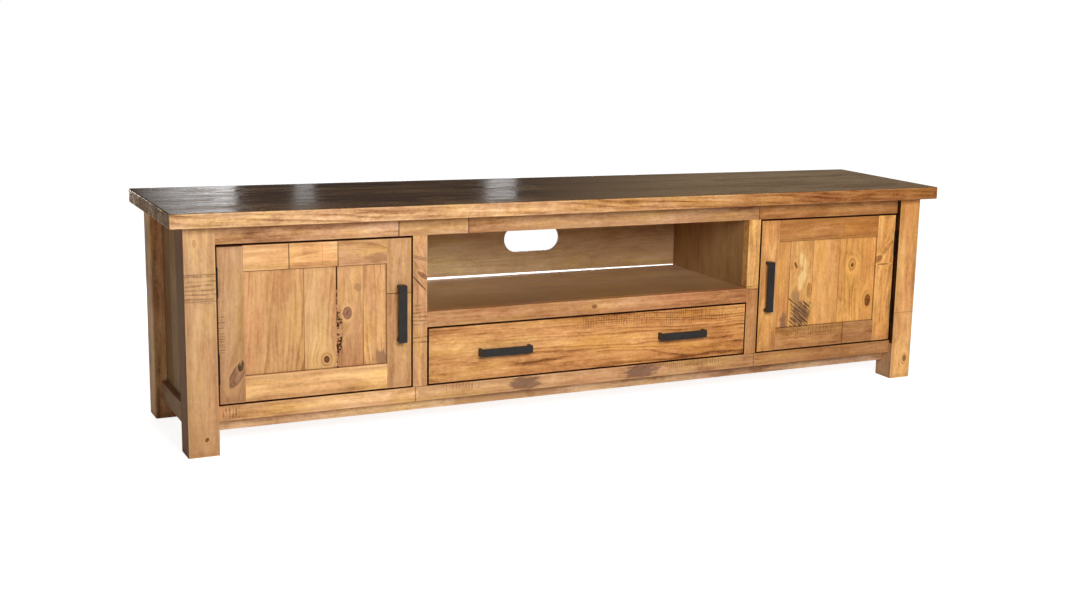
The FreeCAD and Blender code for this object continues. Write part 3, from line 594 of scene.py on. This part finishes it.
# Doors
# Stiles and rails joined by tenons, round a panel of upright boards that floats in a groove.
# Sides of stiles and rails that meet a gap are painted near black as the gaps' shade. The dark lines
# round each panel are partly its joint with the frame and partly painted shade along the frame's edge,
# and the left door's hinge stile is painted darker at its foot as a painted falloff of light.
pine("left_door_hinge_stile", "z", 0.6, tint=(0.90, 0.90, 1.06), contrast=0.8, edge_width=0.004,
     painted_gap_shade_sides="x- z+", edge_depth=0.014, painted_light_fade=(2, (0.86, 0.80, 0.76), (1.0, 1.0, 1.0)),
     knots=[(0.171, -0.8595, 0.028, 0.0145, 0.45, rose_knot, 0.95),
            (0.168, -0.858, 0.017, 0.009, 0.45, red_knot, 0.4),
            (0.168, -0.856, 0.009, 0.0055, 0.4, pale_heart, 0.85),
            (0.190, -0.852, 0.0125, 0.006, 0.15, black_knot, 0.9)],
     stains=[(0.218, -0.852, 0.03, 0.007, pale_blot), (0.150, -0.883, 0.03, 0.006, pale_blot)],
     saws=[(0.267, -0.893, 0.045, 0.009, 0.006, 0.0, 0.5)])
pine("left_door_lock_stile", "z", 1.9, lines=[(2, 0.327, 0.6)], contrast=0.8, board_axis=2,
     painted_gap_shade_sides="z+",
     boards=lengths("left_door_lock_stile", (0.327,), ((1.00, 0.98, 1.06), (0.98, 0.98, 1.12)), (1, 2),
                    2))
joints = (-0.745, -0.637)
tints = ((1.24, 1.22, 1.26), (1.26, 1.22, 1.20), (1.02, 1.02, 1.16))
pine("left_door_top_rail", "x", 3.7, boards=lengths("left_door_top_rail", joints, tints, (1, 4, 7)),
     contrast=0.9,
     ring_gap=0.009, run_out=0.06, waver=0.05, ring_depth=0.34,
     lines=[(0, joint, 0.7) for joint in joints], painted_gap_shade_sides="z+",
     stains=[(-0.545, 0.410, 0.03, 0.012, tan_blot)])
pine("left_door_bottom_rail", "x", 5.4, tint=(1.36, 1.40, 1.46), contrast=0.8)
joints = (-0.713, -0.640, -0.580)
tints = ((1.02, 0.98, 0.98), (1.04, 1.04, 1.08), (1.08, 1.06, 1.18), (1.14, 1.10, 1.20))
pine("left_door_panel", "z", 2.6, boards=lengths("left_door_panel", joints, tints, (1, 3, 6, 8)),
     contrast=0.75,
     ring_gap=0.0095, run_out=0.06, waver=0.055, ring_depth=0.36,
     knots=[(0.289, -0.616, 0.0140, 0.0100, 0.0, rose_knot, 1.0),
            (0.1875, -0.6635, 0.0150, 0.0125, 0.0, tan_knot, 0.75),
            (0.1875, -0.6635, 0.0080, 0.0065, 0.0, red_knot, 1.0)],
     stains=[(0.180, -0.540, 0.022, 0.016, brown_blot), (0.345, -0.592, 0.011, 0.008, tan_blot)],
     lines=[(2, 0.1672, 0.6), (2, 0.3952, 0.5), (0, -0.5275, 0.5), (0, -0.580, 0.25), (0, -0.713, 0.25),
            (0, -0.8432, 0.35)],
     cracks=[(0.372, -0.640, 0.03, 0.0020, 0.3), (0.32, -0.640, 0.03, 0.0018, 0.05),
             (0.275, -0.634, 0.022, 0.009, 0.02),
             (0.225, -0.634, 0.02, 0.008, 0.04), (0.19, -0.638, 0.03, 0.004, 0.03)])
pine("right_door_lock_stile", "z", 4.7, tint=(1.16, 1.00, 0.79), painted_gap_shade_sides="x- z+")
pine("right_door_hinge_stile", "z", 6.0, tint=(1.55, 1.40, 1.04), painted_gap_shade_sides="z+",
     knots=[(0.334, 0.849, 0.010, 0.012, 0.4, red_knot, 0.9),
            (0.356, 0.871, 0.026, 0.009, 0.9, brown_knot, 0.45),
            (0.319, 0.866, 0.0022, 0.020, 0.0, red_knot, 0.8)])
pine("right_door_top_rail", "x", 7.8, lines=[(0, 0.729, 0.2)], painted_gap_shade_sides="z+",
     boards=lengths("right_door_top_rail", (0.729,), ((0.82, 0.63, 0.45), (0.80, 0.56, 0.34)), (1, 5)))
pine("right_door_bottom_rail", "x", 0.9, lines=[(0, 0.742, 0.6)], contrast=1.2,
     boards=lengths("right_door_bottom_rail", (0.742,), ((0.90, 0.77, 0.65), (0.80, 0.66, 0.60)),
                    (1, 3)),
     saws=[(0.635, 0.155, 0.11, 0.012, 0.006, 0.0, 0.6)])
joints = (0.564, 0.637, 0.722, 0.795)
tints = ((1.02, 0.83, 0.59), (1.20, 1.12, 0.90), (1.16, 0.98, 0.76), (1.36, 1.20, 0.84),
         (1.25, 1.04, 0.70))
pine("right_door_panel", "z", 1.7, boards=lengths("right_door_panel", joints, tints, (1, 3, 6, 8, 2)),
     lines=[(0, 0.564, 0.35), (0, 0.637, 0.2), (0, 0.722, 0.35), (2, 0.1672, 0.6), (2, 0.3952, 0.4),
            (0, 0.8415, 0.8)], contrast=0.9,
     knots=[(0.331, 0.583, 0.009, 0.004, -0.4, red_knot, 0.9),
            (0.262, 0.629, 0.021, 0.0085, 0.0, brown_knot, 0.75),
            (0.264, 0.627, 0.015, 0.0055, 0.0, tan_knot, 0.9),
            (0.322, 0.7645, 0.017, 0.012, 0.0, brown_knot, 0.8),
            (0.320, 0.7635, 0.011, 0.0075, 0.0, tan_knot, 0.8),
            (0.322, 0.766, 0.006, 0.005, 0.0, red_knot, 0.95),
            (0.224, 0.822, 0.026, 0.0165, 0.0, tan_knot, 0.6),
            (0.222, 0.823, 0.017, 0.0095, 0.0, red_knot, 0.95)],
     stains=[(0.200, 0.604, 0.040, 0.030, brown_blot), (0.182, 0.551, 0.03, 0.012, brown_blot),
             (0.247, 0.586, 0.026, 0.015, tan_blot),
             (0.315, 0.612, 0.040, 0.007, yellow_blot), (0.285, 0.600, 0.030, 0.009, yellow_blot),
             (0.345, 0.600, 0.022, 0.008, yellow_blot)],
     saws=[(0.200, 0.601, 0.045, 0.034, 0.0115, 0.75, 1.0),
           (0.193, 0.602, 0.030, 0.030, 0.0085, 0.9, 0.8),
           (0.180, 0.551, 0.022, 0.012, 0.008, 0.75, 0.5)])


# Drawer
# A solid pine front on a plain box of thinner boards.
# Its left and upper sides are painted near black as the gaps' shade, and its face is painted darker and
# warmer towards the right as a painted falloff of light.
pine("drawer_front", "x", 2.4, tint=(0.93, 0.79, 0.635),
     painted_light_fade=(0, (1.03, 1.05, 1.10), (1.04, 0.95, 0.86)),
     painted_gap_shade_sides="x- z+", wax=0.12,
     heart=(0.0, -0.02, 0.035), ring_gap=0.0075, run_out=0.02, waver=0.05, ring_depth=0.48,
     contrast=1.2,
     saws=[(0.06, 0.226, 0.12, 0.016, 0.007, 0.0, 0.45), (0.29, 0.222, 0.11, 0.02, 0.006, 0.0, 0.5)])
for piece, grain in (("side_left", "y"), ("side_right", "y"), ("back", "x"), ("bottom", "flat x")):
    pine("drawer_" + piece, grain, 3.6, tint=(0.95, 0.98, 1.0), wax=0.15)


# Handles and metalwork
# Flat bar pulls of steel, painted satin black; dull steel hinges, zinc plated slides and screws,
# and brown plastic catches.
def metal(name, colour, metallic, rough):
    """Metal, paint or plastic with faint cloudiness in its tone and gloss."""
    material = bpy.data.materials.new(name)
    material.use_nodes = True
    tree = material.node_tree
    shader = tree.nodes["Principled BSDF"]
    where = put(tree, "ShaderNodeTexCoord").outputs["Object"]
    cloud = noise(tree, where, (60.0, 60.0, 60.0), 4.0)[0]
    tone = eased(tree, cloud, 0.3, 0.7, 0.8, 1.2)
    cloudy = blend(tree, "MULTIPLY", 1.0, (*colour, 1.0), joined(tree, tone, tone, tone))
    feed(tree, shader.inputs["Base Color"], cloudy)
    feed(tree, shader.inputs["Roughness"], eased(tree, cloud, 0.3, 0.7, rough - 0.06, rough + 0.06))
    shader.inputs["Metallic"].default_value = metallic
    return material


black_paint = metal("black_paint", (0.022, 0.021, 0.020), 0.0, 0.45)
for node in ("left_door_handle", "right_door_handle", "drawer_handle_left", "drawer_handle_right"):
    dress(node, black_paint)
dull_steel = metal("dull_steel", (0.055, 0.045, 0.035), 1.0, 0.5)
for node in ("hinge_frame_leaves", "hinge_pins", "left_door_hinge_leaves", "right_door_hinge_leaves"):
    dress(node, dull_steel)
zinc = metal("zinc", (0.60, 0.61, 0.62), 1.0, 0.36)
for node in ("drawer_slide_left", "drawer_slide_right", "drawer_runners", "left_door_strike_plate",
             "right_door_strike_plate", "cabinet_screws", "left_door_screws", "right_door_screws",
             "drawer_screws"):
    dress(node, zinc)
dress("door_catches", metal("brown_plastic", (0.10, 0.06, 0.035), 0.0, 0.5))


# Floor and light
# A plain white floor, a broad soft light before the unit and low lamps at both ends and behind.
# Far behind stand tall narrow windows and a warm wall, which are mirrored along the top.
floor_reach = 40
floor_corners = [(x * floor_reach, y * floor_reach, 0) for x, y in ((-1, -1), (1, -1), (1, 1), (-1, 1))]
floor_mesh = bpy.data.meshes.new("studio_floor")
floor_mesh.from_pydata(floor_corners, [], [(0, 1, 2, 3)])
floor = bpy.data.objects.new("studio_floor", floor_mesh)
bpy.context.scene.collection.objects.link(floor)
floor_paint = bpy.data.materials.new("studio_floor")
floor_paint.use_nodes = True
floor_tree = floor_paint.node_tree
floor_shader = floor_tree.nodes["Principled BSDF"]
floor_shader.inputs["Base Color"].default_value = (0.85, 0.85, 0.85, 1.0)
floor_shader.inputs["Roughness"].default_value = 0.9
floor_shader.inputs["Specular IOR Level"].default_value = 0.0
floor_shader.inputs["Emission Color"].default_value = (1.0, 1.0, 1.0, 1.0)
near_radius, far_radius = 1.2, 4.5
near_glow, far_glow = 0.86, 1.0
floor_place = put(floor_tree, "ShaderNodeTexCoord").outputs["Object"]
from_middle = put(floor_tree, "ShaderNodeVectorMath", {0: floor_place}, operation="LENGTH")
lifted = eased(floor_tree, from_middle.outputs["Value"], near_radius, far_radius, near_glow, far_glow)
seen = put(floor_tree, "ShaderNodeLightPath").outputs["Is Camera Ray"]
feed(floor_tree, floor_shader.inputs["Emission Strength"], calc(floor_tree, "MULTIPLY", lifted, seen))
floor_mesh.materials.append(floor_paint)

world = bpy.data.worlds.new("studio")
world.use_nodes = True
bpy.context.scene.world = world
sky = world.node_tree.nodes["Background"]
rays = put(world.node_tree, "ShaderNodeLightPath").outputs
room_light = 0.07
mirrored_less = -0.03
shone = calc(world.node_tree, "MULTIPLY_ADD", rays["Is Glossy Ray"], mirrored_less, room_light)
sky_strength = calc(world.node_tree, "MAXIMUM", rays["Is Camera Ray"], shone)
feed(world.node_tree, sky.inputs["Strength"], sky_strength)
sky.inputs["Color"].default_value = (1.0, 1.0, 1.0, 1.0)


def soft_light(name, place, aim, size, watts, colour=(1.0, 1.0, 1.0), rise=0.0, glints=True):
    """Area lamp turned towards a point, which itself stays out of the picture. Over the rise, a
    share of its width from the left, it comes up from dark to full. Without glints it isn't
    mirrored in the finish."""
    lamp = bpy.data.lights.new(name, "AREA")
    lamp.shape = "RECTANGLE"
    lamp.size, lamp.size_y = size
    lamp.energy = watts
    lamp.color = colour
    if rise:
        lamp.use_nodes = True
        tree = lamp.node_tree
        across = parts_of(tree, put(tree, "ShaderNodeNewGeometry").outputs["Parametric"])[0]
        from_left = calc(tree, "DIVIDE", calc(tree, "SUBTRACT", 1.0, across), rise)
        feed(tree, tree.nodes["Emission"].inputs["Strength"], calc(tree, "MINIMUM", from_left, 1.0))
    holder = bpy.data.objects.new(name, lamp)
    holder.location = place
    holder.rotation_mode = "QUATERNION"
    holder.rotation_quaternion = (Vector(aim) - Vector(place)).to_track_quat("-Z", "Y")
    holder.visible_camera = False
    holder.visible_glossy = glints
    bpy.context.scene.collection.objects.link(holder)


soft_light("front_light", (-0.3, -2.7, 1.5), (0.0, 0.0, 0.4), (1.3, 1.1), 74.0, glints=False)
soft_light("end_light", (-2.2, 0.9, 0.6), (-0.97, 0.1, 0.3), (0.6, 0.6), 1.85)
soft_light("right_light", (2.2, 0.1, 0.36), (0.97, 0.1, 0.3), (0.6, 0.28), 2.5)
soft_light("rear_light", (0.0, 1.9, 0.42), (0.0, 0.2, 0.25), (2.6, 0.16), 14.0)
# Windows and wall: name, place along the unit, height, height it faces, size, watts, tone, rise
far_behind = 3.0
daylight = (1.0, 1.0, 1.0)
lamplight = (1.0, 0.70, 0.40)
for name, x, z, facing, size, watts, tone, rise in (
        ("window_left", -0.31, 0.68, 0.6, (0.42, 0.50), 1.65, daylight, 1.0),
        ("window_left_upper", -0.31, 1.15, 0.8, (0.42, 0.44), 0.13, daylight, 1.0),
        ("window_middle", 0.20, 0.95, 0.8, (0.08, 0.7), 0.08, daylight, 0.0),
        ("window_right", 1.11, 0.68, 0.6, (0.14, 0.50), 0.26, daylight, 0.0),
        ("window_right_upper", 1.11, 1.15, 0.8, (0.14, 0.44), 0.05, daylight, 0.0),
        ("warm_wall", 2.45, 0.95, 0.8, (2.6, 0.9), 2.15, lamplight, 0.385)):
    soft_light(name, (x, far_behind, z), (x, 0.0, facing), size, watts, tone, rise)


# Camera
# Stands to the left of the front, above the top, turned as in the photograph. The frame is cut
# off centre, which the lens shift repeats.
image_width = 1082.0
focal_pixels = 1487.8
centre_pixels = (142.5, 4.8)
stand = (-1.6118, -3.3250, 0.9791)
turn, tip, roll = -0.53254, 0.19967, 0.03731
level = Matrix(((1, 0, 0), (0, 0, -1), (0, 1, 0)))
look = Matrix.Rotation(roll, 3, "Z") @ Matrix.Rotation(tip, 3, "X")
look = look @ Matrix.Rotation(turn, 3, "Y") @ level
pose = Matrix((look[0], -look[1], -look[2])).transposed().to_4x4()
pose.translation = Vector(stand)
lens = bpy.data.cameras.new("camera")
sensor_width = 36.0
lens.lens = sensor_width * focal_pixels / image_width
lens.shift_x = -centre_pixels[0] / image_width
lens.shift_y = centre_pixels[1] / image_width
camera = bpy.data.objects.new("camera", lens)
camera.matrix_world = pose
bpy.context.scene.collection.objects.link(camera)
bpy.context.scene.camera = camera
bpy.context.scene.view_settings.view_transform = "Standard"
